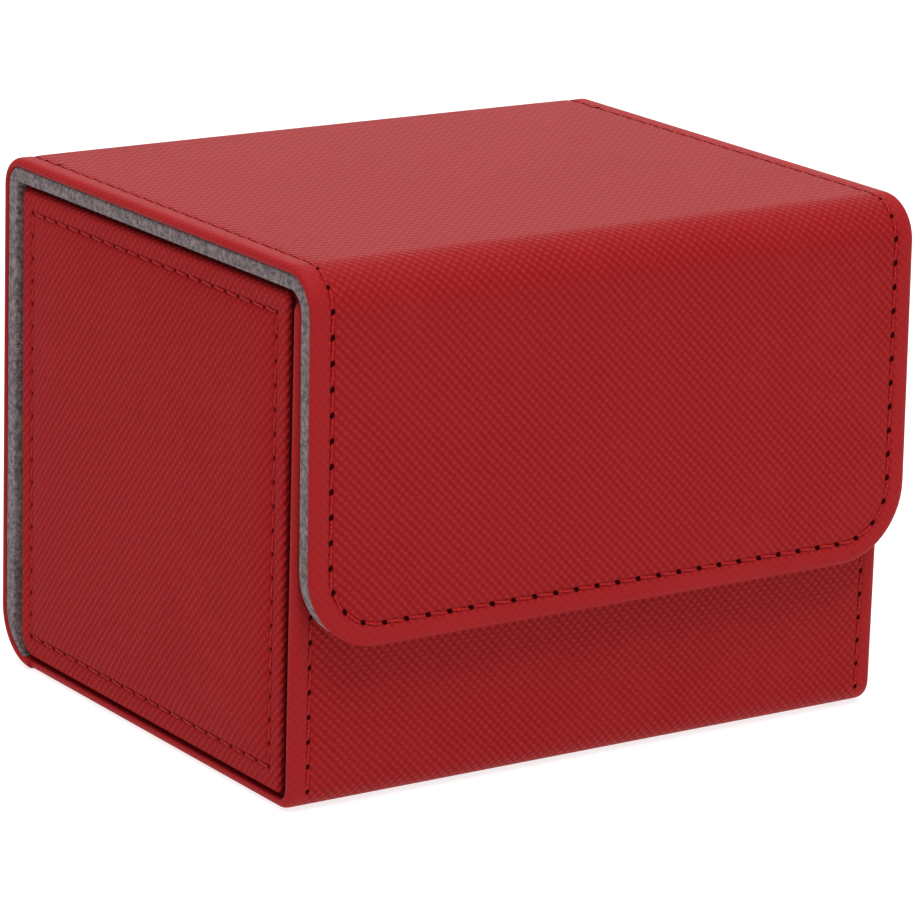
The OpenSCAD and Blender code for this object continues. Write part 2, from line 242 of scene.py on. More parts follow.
def leatherette(name, look):
    p = Paint(name)
    uv = p.strip()
    drift = p.noise(uv, look["drift"], 1.0)
    a, b, _ = p.parts(uv)
    inset = p.attribute("inset")
    wobble = (drift - 0.5) * look["wobble"]
    knobs, furrows = 1.0, 0.0
    for turn, weight in zip(np.radians(look["turns"]), look["weights"]):
        along = a * float(np.cos(turn)) + b * float(np.sin(turn)) + wobble
        wave = along * (2 * math.pi / look["pitch"])
        crossing = p.node("ShaderNodeMath", {"operation": "COSINE"}, {0: wave}) * 0.5 + 0.5
        share = weight / max(look["weights"])
        knobs = (crossing * share + (1 - share)) * knobs
        furrows = (1 - crossing) ** 2.0 * weight + furrows
    uneven = p.noise(uv, look["uneven"], 2.0, 0.6)
    grain = p.noise(uv, look["grain"], 3.0, 0.65)
    patches = p.noise(uv, look["patches"], 3.0, 0.6)
    knobs = (knobs ** 1.5) * (uneven * 0.9 + 0.55)
    edge = inset + (uneven - 0.5) * 0.8
    inside = p.step(edge, look["bandWidth"] - look["bandSoft"], look["bandWidth"] + look["bandSoft"])
    inside = inside * (1 - look["bandEmboss"]) + look["bandEmboss"]
    height = (knobs * 0.8 - furrows * 0.45) * inside + grain * 0.2
    # furrows take a darker colour and knobs a lighter one: partly the leatherette's own tone, partly painted
    # shade in the furrows and painted highlight on the knobs
    embossed = p.blend(furrows * look["contrast"], look["face"], look["furrow"])
    embossed = p.blend(knobs * look["contrast"], embossed, look["crest"])
    smooth = p.blend(grain * 0.5, look["band"], look["furrow"])
    colour = p.blend(inside, smooth, embossed)
    colour = p.blend(p.step(patches, 0.35, 0.75) * 0.10, colour, look["crest"])
    # painted shade in the seam's channel: the leatherette darkens towards the furrow colour near the seam
    groove = 1 - p.step(p.attribute("offSeam"), look["seamFrom"], look["seamTo"])
    colour = p.blend(groove * look["seamShade"], colour, look["furrow"])
    if look["edgeShadowAt"] is not None:                                  # painted shade on the turned front edge of a pad, which lies in a groove
        ragged = a + (knobs - 0.3) * 0.55
        forwards, backwards = look["edgeShadowSoft"]
        edgeShade = 1 - p.step(ragged, look["edgeShadowAt"] - forwards, look["edgeShadowAt"] + backwards)
        colour = p.blend(edgeShade * 0.9, colour, look["edgeShadow"])
    roughness = 0.5 + (grain - 0.5) * 0.2 - knobs * inside * 0.06 + (1 - inside) * 0.03
    normal = p.bump(height, look["relief"])
    return p.finish(colour=colour, rough=roughness, normal=normal, specular=look["gloss"])


# the looks below have their noise scales per metre and their reliefs in metres
fibreLook = {
    "light": (0.305, 0.240, 0.245, 1), "dark": (0.066, 0.052, 0.053, 1), "shine": (0.85, 0.85, 0.87, 1),
    "nap": 5200.0, "tufts": 1300.0, "clouds": 120.0, "relief": 0.00025, "sheen": 0.15,
}
threadLook = {
    "dark": (0.24, 0.003, 0.004, 1), "light": (0.52, 0.008, 0.010, 1),
    "twist": 9.0,               # plies along a stitch, in radians per millimetre
    "fluff": 7.0, "relief": 0.00006,
}
# painted shade inside needle holes, a little lighter on the pads
holeShadeLook = {"dark": (0.010, 0.001, 0.001, 1), "light": (0.035, 0.002, 0.002, 1), "speck": 4000.0}
padHoleShadeLook = {**holeShadeLook, "dark": (0.045, 0.002, 0.003, 1), "light": (0.090, 0.004, 0.005, 1)}
boardLook = {
    "dark": (0.30, 0.25, 0.19, 1), "light": (0.46, 0.40, 0.31, 1), "fleck": (0.20, 0.17, 0.14, 1),
    "fibres": 900.0, "flecks": 2600.0, "relief": 0.0001,
}
foamLook = {"walls": (0.46, 0.44, 0.40, 1), "cells": (0.80, 0.78, 0.73, 1), "scale": 2200.0, "relief": 0.0002}
plateLook = {
    "dark": (0.55, 0.55, 0.56, 1), "light": (0.72, 0.72, 0.74, 1), "scale": 3000.0, "relief": 0.00002,
}


def microfibre(name, look):
    p = Paint(name)
    place = p.place()
    nap = p.noise(place, look["nap"], 3.0, 0.7)
    tufts = p.noise(place, look["tufts"], 3.0, 0.65)
    clouds = p.noise(place, look["clouds"], 2.0, 0.5)
    mixed = p.step(nap * 0.4 + tufts * 0.6, 0.40, 0.62)
    colour = p.blend(mixed * 0.85 + clouds * 0.15, look["dark"], look["light"])
    normal = p.bump(nap * 0.6 + tufts * 0.6, look["relief"])
    return p.finish(colour=colour, rough=0.95, normal=normal, specular=0.08, sheen=look["sheen"],
                    sheenRough=0.5, sheenTint=look["shine"])


def twistedThread(name, look):
    p = Paint(name)
    uv = p.strip()
    a, b, _ = p.parts(uv)                                             # along the seam, round the thread
    turn = a * look["twist"] + b * (2 * math.pi)
    ply = p.node("ShaderNodeMath", {"operation": "SINE"}, {0: turn}) * 0.5 + 0.5
    fluff = p.noise(uv, look["fluff"], 2.0)
    colour = p.blend(ply * 0.7 + fluff * 0.3, look["dark"], look["light"])
    normal = p.bump(ply + fluff * 0.3, look["relief"])
    return p.finish(colour=colour, rough=0.6 - ply * 0.1, normal=normal, specular=0.2)


# painted shade: a near-black colour standing for the shade inside a needle hole
def paintHoleShade(name, look):
    p = Paint(name)
    speck = p.noise(p.place(), look["speck"], 2.0)
    return p.finish(colour=p.blend(speck, look["dark"], look["light"]), rough=1.0, specular=0.0)


def greyboard(name, look):
    p = Paint(name)
    place = p.place()
    fibres = p.noise(place, look["fibres"], 4.0, 0.7)
    flecks = p.noise(place, look["flecks"], 2.0)
    colour = p.blend(fibres, look["dark"], look["light"])
    colour = p.blend(p.step(flecks, 0.62, 0.7) * 0.5, colour, look["fleck"])
    return p.finish(colour=colour, rough=0.85 + fibres * 0.1, normal=p.bump(fibres, look["relief"]))


def openFoam(name, look):
    p = Paint(name)
    cells = p.node("ShaderNodeTexVoronoi", {}, {"Vector": p.place(), "Scale": look["scale"]})
    colour = p.blend(cells * 1.4, look["walls"], look["cells"])
    return p.finish(colour=colour, rough=0.95, normal=p.bump(cells, look["relief"]))


def nickelPlate(name, look):
    p = Paint(name)
    plating = p.noise(p.place(), look["scale"], 2.0)
    colour = p.blend(plating, look["dark"], look["light"])
    normal = p.bump(plating, look["relief"])
    return p.finish(colour=colour, rough=0.22 + plating * 0.14, metal=1.0, normal=normal)


paints = {
    "leatherette": leatherette("leatherette", coverLeather),
    "padLeatherette": leatherette("padLeatherette", padLeather),
    "shadedWallLeatherette": leatherette("shadedWallLeatherette", shadedWallLeather),
    "microfibre": microfibre("microfibre", fibreLook),
    "thread": twistedThread("thread", threadLook),
    "needle": paintHoleShade("needleHoleShade", holeShadeLook),
    "padNeedle": paintHoleShade("padNeedleHoleShade", padHoleShadeLook),
    "board": greyboard("greyboard", boardLook),
    "foam": openFoam("foam", foamLook),
    "magnet": nickelPlate("magnet", plateLook),
}
print("paints mixed")


# a strip's path, seen from the side, is a list of straights and bends; places on it are (y, z)
def straight(start, heading, outward, length):
    return {"start": start, "heading": heading, "outward": outward, "length": length}


def bend(centre, radius, low, high):
    return {"centre": centre, "radius": radius, "low": low, "high": high,
            "length": radius * math.radians(abs(high - low))}


def follow(path, b):
    b = np.asarray(b, float)
    spot, out = np.zeros(b.shape + (2,)), np.zeros(b.shape + (2,))
    begin = 0.0
    for i, part in enumerate(path):
        here = (b >= begin) if i else np.ones(b.shape, bool)
        t = b - begin
        if "start" in part:
            for k in range(2):
                spot[..., k][here] = (part["start"][k] + t * part["heading"][k])[here]
                out[..., k][here] = part["outward"][k]
        else:
            turn = np.radians(part["low"] + (part["high"] - part["low"]) * t / part["length"])
            for k, wave in enumerate((np.cos(turn), np.sin(turn))):
                spot[..., k][here] = (part["centre"][k] + part["radius"] * wave)[here]
                out[..., k][here] = wave[here]
        begin += part["length"]
    return spot, out


def onStrip(path):
    def place(a, b, n):
        spot, out = follow(path, b)
        return np.stack([a + 0 * n, spot[..., 0] + n * out[..., 0], spot[..., 1] + n * out[..., 1]], -1)
    return place


def onWall(side, x):
    def place(a, b, n):
        return np.stack([side * (x + n), a + 0 * n, b + 0 * n], -1)
    return place


# a plan is a flat outline: "a" and "b" give its extent, "closed" says which of its low a, low b, high a
# and high b edges are finished edges, and "radii" gives its corners, anticlockwise from low a and low b
allClosed = (1, 1, 1, 1)


def gapsOf(plan, a, b):
    (a0, a1), (b0, b1) = plan["a"], plan["b"]
    return a - a0, b - b0, a1 - a, b1 - b


def insetOf(plan, a, b):
    (a0, a1), (b0, b1) = plan["a"], plan["b"]
    openEdge = np.full(np.shape(a), 1e3)
    closed = plan.get("closed", allClosed)
    gaps = zip(closed, gapsOf(plan, a, b))
    inset = np.minimum.reduce([np.where(shut, gap, openEdge) for shut, gap in gaps])
    corners = [(a0, b0, 1, 1), (a1, b0, -1, 1), (a1, b1, -1, -1), (a0, b1, 1, -1)]
    for (cornerA, cornerB, signA, signB), r in zip(corners, plan["radii"]):
        if r > 0:
            da, db = (a - cornerA) * signA, (b - cornerB) * signB
            near = (da < r) & (db < r)
            inset = np.where(near, r - np.hypot(r - da, r - db), inset)
    return np.maximum(inset, 0.0)


def ringAt(plan, d, cols, rows):
    (a0, a1), (b0, b1) = plan["a"], plan["b"]
    lowA, lowB, highA, highB = plan.get("closed", allClosed)
    steps = plan.get("arc", 10)
    corners = [(a0, b0, 1, 1, lowA, lowB, 180), (a1, b0, -1, 1, highA, lowB, 270),
               (a1, b1, -1, -1, highA, highB, 0), (a0, b1, 1, -1, lowA, highB, 90)]
    sides = [[(col, b0 + d * lowB) for col in cols], [(a1 - d * highA, row) for row in rows],
             [(col, b1 - d * highB) for col in cols[::-1]], [(a0 + d * lowA, row) for row in rows[::-1]]]
    ring = []
    for (cornerA, cornerB, signA, signB, moveA, moveB, start), r, side in zip(corners, plan["radii"], sides):
        for k in range(steps + 1):
            if d < r:
                turn = math.radians(start + 90 * k / steps)
                ring.append((cornerA + signA * r + (r - d) * math.cos(turn),
                             cornerB + signB * r + (r - d) * math.sin(turn)))
            else:
                ring.append((cornerA + signA * d * moveA, cornerB + signB * d * moveB))
        ring += side
    return ring


def evenly(low, high, steps):
    return list(np.linspace(low, high, steps + 1))[1:-1]


def flatMesh(plan):
    # rings along the finished edges round a plain grid
    core = plan["rings"][-1]
    (a0, a1), (b0, b1) = plan["a"], plan["b"]
    shut = plan.get("closed", allClosed)
    lowA, lowB = a0 + core * shut[0], b0 + core * shut[1]
    highA, highB = a1 - core * shut[2], b1 - core * shut[3]
    cols, rows = evenly(lowA, highA, plan["cols"]), plan["rows"]
    if isinstance(rows, int):
        rows = evenly(lowB, highB, rows)
    else:
        rows = [row for row in rows if lowB + hair < row < highB - hair]
    rings = [ringAt(plan, d, cols, rows) for d in plan["rings"]]
    points = [spot for ring in rings for spot in ring]
    count = len(rings[0])
    faces = []
    for q in range(0, (len(rings) - 1) * count, count):
        for i in range(count):
            j = (i + 1) % count
            faces.append((q + i, q + j, q + count + j, q + count + i))
    base = len(points)
    gridA, gridB = [lowA, *cols, highA], [lowB, *rows, highB]
    points += [(x, y) for y in gridB for x in gridA]
    wide = len(gridA)
    for j in range(len(gridB) - 1):
        for i in range(wide - 1):
            q = base + j * wide + i
            faces.append((q, q + 1, q + wide + 1, q + wide))
    _, first, back = np.unique(np.round(np.array(points), 5), axis=0, return_index=True, return_inverse=True)
    back = back.reshape(-1)
    kept = []
    for face in faces:
        loop = [int(back[i]) for i in face]
        loop = [v for i, v in enumerate(loop) if v != loop[i - 1]]
        if len(set(loop)) == len(loop) >= 3:
            kept.append(loop)
    return np.array(points)[first], kept


def makeObject(name, points, faces, materials, uvs=None, attributes=None, slots=None):
    mesh = bpy.data.meshes.new(name)
    mesh.from_pydata([tuple(spot) for spot in np.asarray(points) * mm], [], faces)
    if uvs is not None:
        layer = mesh.uv_layers.new(name="strip")
        order = np.zeros(len(mesh.loops), int)
        mesh.loops.foreach_get("vertex_index", order)
        layer.data.foreach_set("uv", np.asarray(uvs, float)[order].astype(np.float32).ravel())
    for key, values in (attributes or {}).items():
        mesh.attributes.new(key, "FLOAT", "POINT").data.foreach_set("value", np.asarray(values, np.float32))
    for material in materials:
        mesh.materials.append(material)
    mesh.polygons.foreach_set("use_smooth", [True] * len(mesh.polygons))
    if slots is not None:
        mesh.polygons.foreach_set("material_index", slots)
    mesh.update()
    made = bpy.data.objects.new(name, mesh)
    bpy.context.scene.collection.objects.link(made)
    return made


def arris(radius, steps=6):
    return [radius * (1 - math.cos(math.pi / 2 * k / steps)) for k in range(steps + 1)]


def rounding(inset, radius):
    reach = np.clip(radius - inset, 0, radius)
    return radius - np.sqrt(np.maximum(radius ** 2 - reach ** 2, 0))


def slab(name, plan, place, paint, flip):
    # flip: a, b and the way out make a left hand
    flat, faces = flatMesh(plan)
    a, b = flat[:, 0], flat[:, 1]
    inset = insetOf(plan, a, b)
    top, under = plan["lift"](a, b, inset), plan["under"](a, b, inset)
    thick = top - under
    curve, lower = plan["arris"], max(plan.get("underArris", 0.15), 0.01)
    top = top - rounding(inset, curve) * np.minimum(1, 0.72 * thick / curve)      # both share the edge
    under = under + rounding(inset, lower) * np.minimum(1, 0.24 * thick / lower)
    count = len(flat)
    points = np.concatenate([place(a, b, top), place(a, b, under)])
    if flip:
        faces = [face[::-1] for face in faces]
    edges = {}
    for face in faces:
        for i in range(len(face)):
            edges[(face[i], face[(i + 1) % len(face)])] = True
    walls = [[j, i, i + count, j + count] for (i, j) in edges if (j, i) not in edges]
    everything = faces + [[v + count for v in face[::-1]] for face in faces] + walls
    offSeam = np.abs(plan["offSeam"](a, b, inset)) if "offSeam" in plan else np.full(count, 9.0)
    small = 1e-4                              # the emboss runs on over the rounded edge
    outward = np.stack([insetOf(plan, a - small, b) - insetOf(plan, a + small, b),
                        insetOf(plan, a, b - small) - insetOf(plan, a, b + small)], -1)
    outward /= np.maximum(np.linalg.norm(outward, axis=1), 1e-6)[:, None]
    reach = np.clip(curve - inset, 0, curve)
    spread = curve * np.arcsin(reach / curve) - reach
    turned = np.where(inset < 3, spread + (top - under) + 2 * inset, 0)
    uvs = np.concatenate([flat + outward * spread[:, None], flat + outward * turned[:, None]])
    uvs = uvs + np.array(plan.get("uvStart", (0, 0)))
    attributes = {"inset": np.concatenate([inset, inset]), "offSeam": np.concatenate([offSeam, offSeam])}
    made = makeObject(name, points, everything, [paint], uvs, attributes)
    ends = np.zeros(count, bool)
    for shut, gap in zip(plan.get("closed", allClosed), gapsOf(plan, a, b)):
        ends |= (gap < 1e-6) & (not shut)
    for edge in made.data.edges:
        i, j = edge.vertices
        edge.use_edge_sharp = bool(ends[i % count] and ends[j % count])
    return made


def channelAt(distance, depth=1.0):
    groove = seam["channel"] * np.exp(-(distance / seam["channelWide"]) ** 2)
    return -depth * groove - depth * seam["hollow"] * np.exp(-(distance / seam["hollowWide"]) ** 2)


def stitch(at, middleAt, length, longest, sides=8, stations=9):
    # one length of thread, thinner and sunk at both ends
    t = np.linspace(-0.5, 0.5, stations)
    s = np.clip(middleAt + t * length, hair, longest - hair)
    lift = seam["threadRise"] - seam["threadDive"] * np.abs(2 * t) ** 5
    middle, above, _ = at(s, seam["threadSway"] * np.sin(math.pi * t), lift)
    along = np.gradient(middle, axis=0)
    along /= np.linalg.norm(along, axis=1)[:, None]
    across = np.cross(along, above - middle)
    across /= np.linalg.norm(across, axis=1)[:, None]
    up = np.cross(across, along)
    slim = 1 - seam["threadSlim"] * np.abs(2 * t) ** 4
    points, uvs, faces = [], [], []
    for k in range(stations):
        for j in range(sides):
            turn = 2 * math.pi * j / sides
            points.append(middle[k] + slim[k] * (seam["threadWide"] * math.cos(turn) * across[k]
                                                 + seam["threadHigh"] * math.sin(turn) * up[k]))
            uvs.append((s[k], j / sides))
    for q in range(0, (stations - 1) * sides, sides):
        for j in range(sides):
            k = (j + 1) % sides
            faces.append([q + j, q + sides + j, q + sides + k, q + k])
    faces.append(list(range(sides)))
    faces.append([(stations - 1) * sides + j for j in range(sides)][::-1])
    return points, faces, uvs


def needleMark(place, surface, centre, ahead, s, size, flip, around=16):
    # a slightly pointed disc that follows the surface, standing for a needle hole; its dark paint is painted
    # shade
    turns = 2 * math.pi * np.arange(around) / around
    power, tilt = seam["holePoint"], math.radians(seam["holeTurn"])
    pinch = size * (np.abs(np.cos(turns)) ** power + np.abs(np.sin(turns)) ** power) ** (-1 / power)
    points, uvs, faces = [], [], []
    for share, rise in seam["holeRings"]:
        long = share * pinch * seam["holeLong"] * np.cos(turns)
        wide = share * pinch * seam["holeWide"] * np.sin(turns)
        along = long * math.cos(tilt) - wide * math.sin(tilt)
        off = long * math.sin(tilt) + wide * math.cos(tilt)
        a = centre[0] + along * ahead[0] - off * ahead[1]
        b = centre[1] + along * ahead[1] + off * ahead[0]
        points += list(place(a, b, surface(a, b) + rise))
        uvs += [(s, j / around) for j in range(around)]
    for q in (0, around):
        for j in range(around):
            k = (j + 1) % around
            faces.append([q + j, q + k, q + around + k, q + around + j])
    faces += [list(range(around))[::-1], [2 * around + j for j in range(around)]]
    return points, [face[::-1] for face in faces] if flip else faces, uvs


def sew(name, runs, place, surface, pitch, holeSize, needle, flip):
    # runs: lists of (a, b) points, one along each seam
    points, faces, uvs, slots = [], [], [], []

    def add(piece, slot):
        start = len(points)
        points.extend(piece[0])
        faces.extend([[v + start for v in face] for face in piece[1]])
        uvs.extend(piece[2])
        slots.extend([slot] * len(piece[1]))

    for run in runs:
        run = np.array(run, float)
        reach = np.concatenate([[0], np.cumsum(np.hypot(*np.diff(run, axis=0).T))])
        count = max(1, round(reach[-1] / pitch))
        step = reach[-1] / count

        def at(s, off=0.0, lift=0.0):
            s = np.atleast_1d(np.asarray(s, float))
            a, b = (np.interp(s, reach, run[:, k]) for k in range(2))
            ahead = np.stack([np.interp(s + 0.05, reach, run[:, k]) - np.interp(s - 0.05, reach, run[:, k])
                              for k in range(2)], -1)
            ahead /= np.linalg.norm(ahead, axis=1)[:, None]
            a, b = a - ahead[:, 1] * off, b + ahead[:, 0] * off
            return place(a, b, surface(a, b) + lift), place(a, b, surface(a, b) + lift + 0.1), ahead

        for i in range(count):
            add(stitch(at, (i + 0.5) * step, step - seam["stitchGap"], reach[-1]), 0)
        for i in range(count + 1):
            s = min(max(i * step, 0.02), reach[-1] - 0.02)
            centre = [float(np.interp(s, reach, run[:, k])) for k in range(2)]
            add(needleMark(place, surface, centre, at(s)[2][0], s, holeSize(centre[1]), flip), 1)
    return makeObject(name, points, faces, [paints["thread"], paints[needle]], uvs, {}, slots)


def surfaceOf(plan):
    return lambda a, b: plan["lift"](a, b, insetOf(plan, a, b))


# the cover's strips: lid and flap, back, and bottom with front panel
flapStart = (frontCrease[0] - box["lidBend"] * math.cos(lean),
             frontCrease[1] + box["lidBend"] * math.sin(lean))
lidFlapPath = [
    straight((box["splitY"], box["height"]), (-1, 0), (0, 1), box["splitY"] - frontCrease[0]),
    bend(frontCrease, box["lidBend"], 90.0, 180.0 - box["flapLean"]),
    straight(flapStart, (-math.sin(lean), -math.cos(lean)), (-math.cos(lean), math.sin(lean)),
             (flapStart[1] - box["flapLow"]) / math.cos(lean)),
]
backRise = rearCrease[1] - heel[1]
backLean = math.atan2(heel[0] + box["heelBend"] - rearCrease[0] - box["rearBend"], backRise)
backOut = (math.cos(backLean), math.sin(backLean))
backPath = [
    bend(heel, box["heelBend"], -90.0, math.degrees(backLean)),
    straight((heel[0] + box["heelBend"] * backOut[0], heel[1] + box["heelBend"] * backOut[1]),
             (-backOut[1], backOut[0]), backOut, backRise / math.cos(backLean)),
    bend(rearCrease, box["rearBend"], math.degrees(backLean), 90.0),
    straight((rearCrease[0], box["height"]), (-1, 0), (0, 1), rearCrease[0] - box["splitY"]),
]
noseY = panelY + box["noseBend"]
frontPath = [
    straight((panelY, box["panelTop"]), (0, -1), (-1, 0), box["panelTop"] - box["noseBend"]),
    bend((noseY, box["noseBend"]), box["noseBend"], 180.0, 270.0),
    straight((noseY, 0.0), (1, 0), (0, -1), heel[0] - noseY),
]
lidPart, bendPart, flapPart = [part["length"] for part in lidFlapPath]
heelPart, backPart, rearBendPart, lastPart = [part["length"] for part in backPath]
frontPart, nosePart, basePart = [part["length"] for part in frontPath]
flapFrom, lidFlapLength = lidPart + bendPart, lidPart + bendPart + flapPart
backTo, backLength = heelPart + backPart, heelPart + backPart + rearBendPart + lastPart
frontLength = frontPart + nosePart + basePart

cover = {
    "arris": 1.25, "underArris": 0.4,
    "radius": 11.5,             # corners of the flap
    "crown": 0.06,              # how far the stuffed lid and flap rise in the middle
    "fade": 9.0,                # where that rise begins, from the edge
    "seamDepth": 0.55,          # the seam is shallower than on the flap
    "flapThinner": 0.32,        # the flap's leatherette is this much thinner
    "bendRows": 18,
    "rings": arris(1.25) + [1.7, 2.2, 2.7, 3.0, 3.2, 3.35, 3.5, 3.7, 4.0, 4.6, 5.6, 7.5, 10.0, 11.5],
    "cols": 22,
}


def crownAt(a, inset):
    puff = cover["crown"] * (1 - np.clip(np.abs(a) / stripHalf, 0, 1) ** 3)
    return puff, puff * np.clip(1 - inset / cover["fade"], 0, 1) ** 2


def rowsIn(*spans):
    rows = []
    for low, high, count in spans:
        rows += list(np.linspace(low, high, count + 1))
    return sorted(set(np.round(rows, 5)))


def pastCrease(b):
    return np.clip((b - lidPart) / bendPart, 0, 1)                    # 0 on the lid, 1 on the flap


def skinAt(b):
    return box["skin"] - cover["flapThinner"] * pastCrease(b)


def lidFlapLift(a, b, inset):
    puff, away = crownAt(a, inset)
    dip = 0.10 * np.exp(-((b - lidPart - bendPart / 2) / 6.0) ** 2)   # flatter over the crease
    depth = cover["seamDepth"] + (1 - cover["seamDepth"]) * pastCrease(b)
    return puff * (1 - dip) + channelAt(inset - seam["inset"], depth) - away


def backLift(a, b, inset):
    puff, away = crownAt(a, inset)
    return puff + channelAt(inset - seam["inset"], cover["seamDepth"]) - away


def bendPoints(axis, heading, before, after):
    # where a crease starts and ends to turn, on both sides of its axis and clear of the stiffeners
    return [(0.0, (axis[0] + reach * heading[0]) * mm, (axis[1] + reach * heading[1]) * mm)
            for reach in (-before, after)]


diagonal = math.sqrt(0.5)
frontBend = bendPoints(flapAxis, (-diagonal, -diagonal), 1.6, 3.1)
rearBend = bendPoints(lidAxis, (-diagonal, diagonal), 1.7, 1.7)

lidFlapPlan = {
    "a": (-stripHalf, stripHalf), "b": (0.0, lidFlapLength), "closed": (1, 0, 1, 1),
    "radii": (0, 0, cover["radius"], cover["radius"]), "arc": 14,
    "rings": cover["rings"], "cols": cover["cols"],
    "rows": rowsIn((0, lidPart - 1, 16), (lidPart - 0.5, flapFrom + 0.5, cover["bendRows"]),
                   (flapFrom + 1, lidFlapLength, 14)),
    "arris": cover["arris"], "underArris": cover["underArris"],
    "lift": lidFlapLift, "under": lambda a, b, inset: -skinAt(b),
    "offSeam": lambda a, b, inset: inset - seam["inset"],
}
lidFlapCover = slab("lidFlapCover", lidFlapPlan, onStrip(lidFlapPath), paints["leatherette"], flip=True)
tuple(frontBend[0])
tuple(frontBend[1])
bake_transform(lidFlapCover)
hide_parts("lid_skin", "flap_skin")

backPlan = {
    "a": (-stripHalf, stripHalf), "b": (0.0, backLength), "closed": (1, 0, 1, 0), "radii": (0, 0, 0, 0),
    "rings": cover["rings"], "cols": cover["cols"],
    "rows": rowsIn((0, heelPart, 16), (heelPart + 3, backTo - 1, 14),
                   (backTo - 0.5, backTo + rearBendPart + 0.5, cover["bendRows"]),
                   (backLength - 2, backLength, 2)),
    "arris": cover["arris"], "underArris": cover["underArris"],
    "lift": backLift, "under": lambda a, b, inset: -box["skin"] + 0 * a,
    "offSeam": lambda a, b, inset: inset - seam["inset"],
    "uvStart": (0, -backLength),                                      # so that the emboss meets the lid's
}
backCover = slab("backCover", backPlan, onStrip(backPath), paints["leatherette"], flip=True)
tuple(rearBend[0])
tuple(rearBend[1])
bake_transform(backCover)
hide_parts("back_skin")
print("cover strips bent")


# the grey lining stops a little short of the leatherette's edge
lining = {
    "inset": 0.25, "arris": 0.45, "backArris": 0.3, "cols": 12,
    "paste": 0.06,              # between leatherette and lining
    "backFrom": 2.0,            # where it comes out from under the tray
    "rings": arris(0.45, 4) + [1.2, 3.0, 7.0, 11.25],
    "trayRadius": 5.0, "trayGap": 0.1,        # the tray's bottom rear corner, which it wraps
    "thinnest": 0.05,
}
liningHalf, liningRadius = stripHalf - lining["inset"], cover["radius"] - lining["inset"]
lidFlapLiningPlan = {
    "a": (-liningHalf, liningHalf), "b": (0.0, lidFlapLength - lining["inset"]), "closed": (1, 0, 1, 1),
    "radii": (0, 0, liningRadius, liningRadius), "arc": 14,
    "rings": lining["rings"], "cols": lining["cols"], "rows": lidFlapPlan["rows"],
    "arris": lining["arris"], "underArris": lining["arris"],
    "lift": lambda a, b, inset: -skinAt(b) - lining["paste"],
    "under": lambda a, b, inset: -box["skin"] - box["lining"] + 0 * a,
}
lidFlapLining = slab("lidFlapLining", lidFlapLiningPlan, onStrip(lidFlapPath), paints["microfibre"],
                     flip=True)
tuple(frontBend[0])
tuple(frontBend[1])
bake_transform(lidFlapLining)
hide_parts("lid_lining", "flap_lining")


def backLiningThickness(b):
    # fills the space between the rear bend and the tray's rounded corner, then thins over the top crease
    turn = np.radians(-90 + 90 * np.clip(b / heelPart, 0, 1))
    dy = heel[0] - (trayBack - lining["trayRadius"])
    dz = heel[1] - (box["skin"] + lining["trayRadius"])
    towards = dy * np.cos(turn) + dz * np.sin(turn)
    clear = dy ** 2 + dz ** 2 - (lining["trayRadius"] + lining["trayGap"]) ** 2
    reach = -towards + np.sqrt(np.maximum(towards ** 2 - clear, 0))
    thick = np.clip(box["heelBend"] - box["skin"] - reach, lining["thinnest"], box["backLining"])
    over = np.clip((b - backTo) / rearBendPart, 0, 1)
    over = over * over * (3 - 2 * over)
    return thick * (1 - over) + box["lining"] * over


backLiningPlan = {
    "a": (-liningHalf, liningHalf), "b": (lining["backFrom"], backLength), "closed": (1, 0, 1, 0),
    "radii": (0, 0, 0, 0), "rings": lining["rings"], "cols": lining["cols"], "rows": backPlan["rows"],
    "arris": lining["backArris"], "underArris": lining["backArris"],
    "lift": lambda a, b, inset: -box["skin"] - lining["paste"] + 0 * a,
    "under": lambda a, b, inset: -box["skin"] - backLiningThickness(b),
}
backLining = slab("backLining", backLiningPlan, onStrip(backPath), paints["microfibre"], flip=True)
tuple(rearBend[0])
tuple(rearBend[1])
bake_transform(backLining)
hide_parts("back_lining")
print("lining glued in")


front = {
    "arris": 1.2, "radius": 1.5, "crown": 0.12, "cols": 16,
    "under": 1.38, "underBase": 1.28,         # how far the sheet reaches in, on the panel and on the bottom
    "rings": arris(1.2) + [1.5, 2.0, 2.4, 2.6, 2.75, 2.9, 3.05, 3.2, 3.45, 3.9, 5.0, 7.0, 9.0],
    "uvStart": (0.3, 4.1),
    "seamFrom": 1.6, "seamPast": 0.5,         # the seams start below the top edge and end past the bend
}


def frontLift(a, b, inset):
    onPanel = 1 - np.clip((b - frontPart + 1.5) / 3.0, 0, 1)          # plain on the bottom
    crown = front["crown"] * (1 - np.clip(np.abs(a) / box["trayHalf"], 0, 1) ** 4)
    return channelAt(box["trayHalf"] - np.abs(a) - seam["frontInset"]) * onPanel + crown * onPanel


def frontOffSeam(a, b, inset):
    return box["trayHalf"] - np.abs(a) - seam["frontInset"] + 9 * (b > frontPart)


def frontUnder(a, b, inset):
    return -front["under"] + (front["under"] - front["underBase"]) * np.clip((b - frontPart) / nosePart, 0, 1)


frontPlan = {
    "a": (-box["trayHalf"], box["trayHalf"]), "b": (0.0, frontLength), "closed": (1, 1, 1, 0),
    "radii": (front["radius"], front["radius"], 0, 0), "rings": front["rings"], "cols": front["cols"],
    "rows": rowsIn((0, frontPart - 1, 14), (frontPart - 0.4, frontPart + nosePart + 0.4, 10),
                   (frontPart + nosePart + 2, frontLength, 8)),
    "arris": front["arris"], "lift": frontLift, "under": frontUnder, "offSeam": frontOffSeam,
    "uvStart": front["uvStart"],
}
frontCover = slab("frontCover", frontPlan, onStrip(frontPath), paints["leatherette"], flip=True)
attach(frontCover, "tray")
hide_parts("front_skin", "base_skin")

